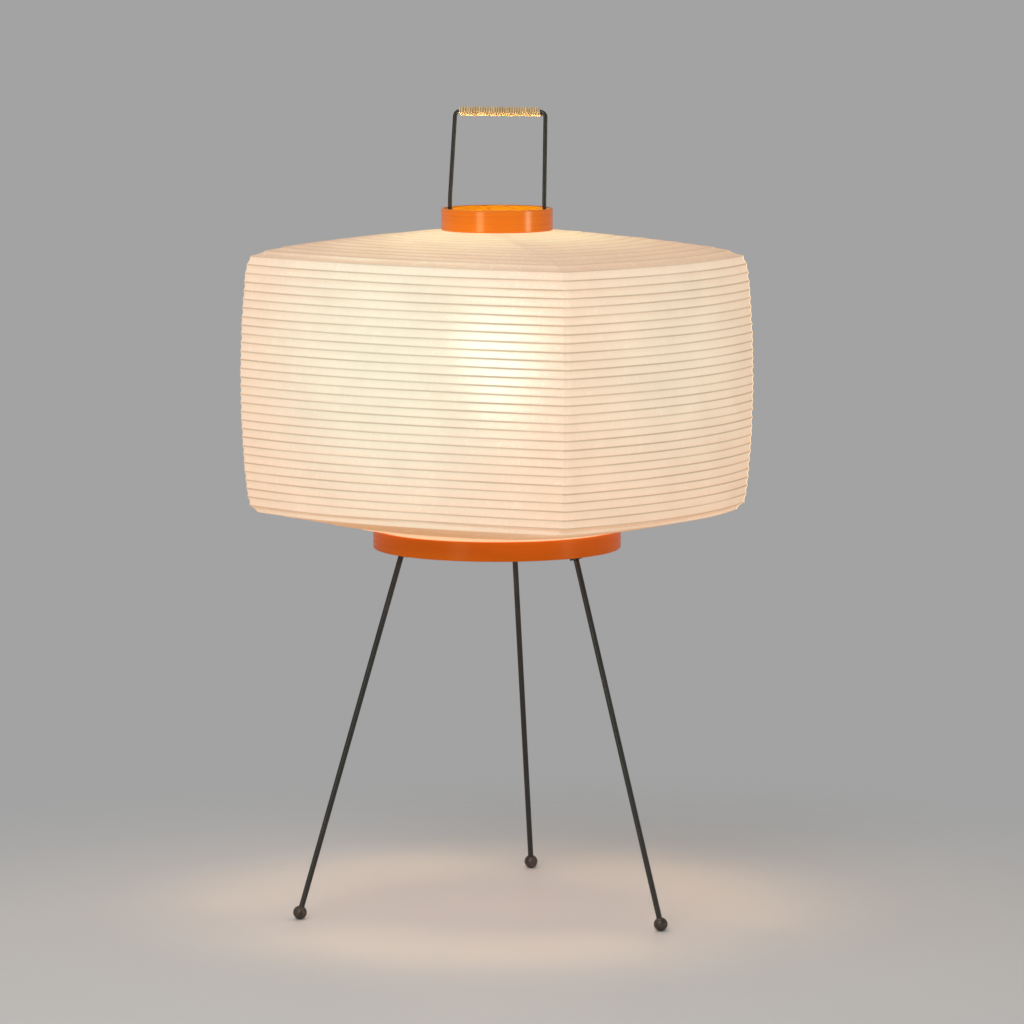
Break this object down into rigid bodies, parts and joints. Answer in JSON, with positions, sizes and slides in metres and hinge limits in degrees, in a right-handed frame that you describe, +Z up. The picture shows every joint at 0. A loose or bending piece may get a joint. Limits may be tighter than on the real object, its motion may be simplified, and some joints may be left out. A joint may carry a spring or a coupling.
{
  "type": "paper table lamp",
  "caption": "Table lamp with a ribbed paper lantern between bentwood rings, on splayed wire legs with ball feet, with a bulb inside and a cane-wrapped wire handle on top.",
  "frame": {"origin": "on the lamp's axis, on the plane that the ball feet stand on", "axes": "+Z up the lamp's axis, -Y out of the lantern's front long side, +X along that side"},
  "size_m": [0.331, 0.2749, 0.5846],
  "materials": {
    "washi_paper": "matte, lit from inside",
    "bamboo": "raw split",
    "varnished_wood": "satin orange varnish",
    "black_wire": "satin black lacquer",
    "dark_ball": "satin black lacquer",
    "cane": "natural cane peel",
    "zinc_steel": "zinc plated",
    "brass": "plain",
    "black_plastic": "moulded",
    "holder_resin": "moulded resin",
    "porcelain": "glazed",
    "bulb_glass": "frosted",
    "bulb_metal": "rolled",
    "bulb_resin": "moulded"
  },
  "bodies": {
    "stand": {"leg_1": "black_wire", "leg_2": "black_wire", "leg_3": "black_wire", "foot_1": "dark_ball", "foot_2": "dark_ball", "foot_3": "dark_ball", "base_ring": "varnished_wood", "base_plate": "zinc_steel", "leg_sockets": "zinc_steel", "leg_grub_screws": "zinc_steel", "tab_screws": "zinc_steel", "stretcher_handle": "black_wire", "stretcher_nuts": "zinc_steel", "cane_grip": "cane", "lamp_stem": "zinc_steel", "stem_washers": "zinc_steel", "stem_nuts": "zinc_steel", "cord_bush": "black_plastic", "holder_cap": "holder_resin", "holder_body": "holder_resin", "holder_insulator": "porcelain", "holder_liner": "brass", "holder_contact": "brass", "paper_front": "washi_paper", "paper_right": "washi_paper", "paper_rear": "washi_paper", "paper_left": "washi_paper", "bottom_ribs": "bamboo", "side_ribs": "bamboo", "top_ribs": "bamboo"},
    "top_ring": {"top_ring": "varnished_wood", "ring_clips": "brass", "clip_tacks": "brass"},
    "bulb_foot": {"bulb_insulator": "bulb_resin", "bulb_tip": "brass"},
    "bulb": {"bulb_globe": "bulb_glass", "bulb_cap": "bulb_metal", "light_source": "bulb_resin"}
  },
  "joints": [
    {"name": "lantern_collapse", "type": "slide", "parent": "stand", "child": "top_ring", "axis": [0, 0, 1], "range_m": [-0.155, 0], "deforming": ["paper_front", "paper_right", "paper_rear", "paper_left", "bottom_ribs", "side_ribs", "top_ribs"]},
    {"name": "bulb_lift", "type": "slide", "parent": "stand", "child": "bulb_foot", "axis": [0, 0, 1], "range_m": [0, 0.0216]},
    {"name": "bulb_turn", "type": "hinge", "parent": "bulb_foot", "child": "bulb", "pos_m": [0, 0, 0.345], "axis": [0, 0, 1], "range_deg": [0, 2160]}
  ],
  "couplings": [
    {"joint": "bulb_lift", "follows": "bulb_turn", "m_per_rad": 0.00057296}
  ]
}
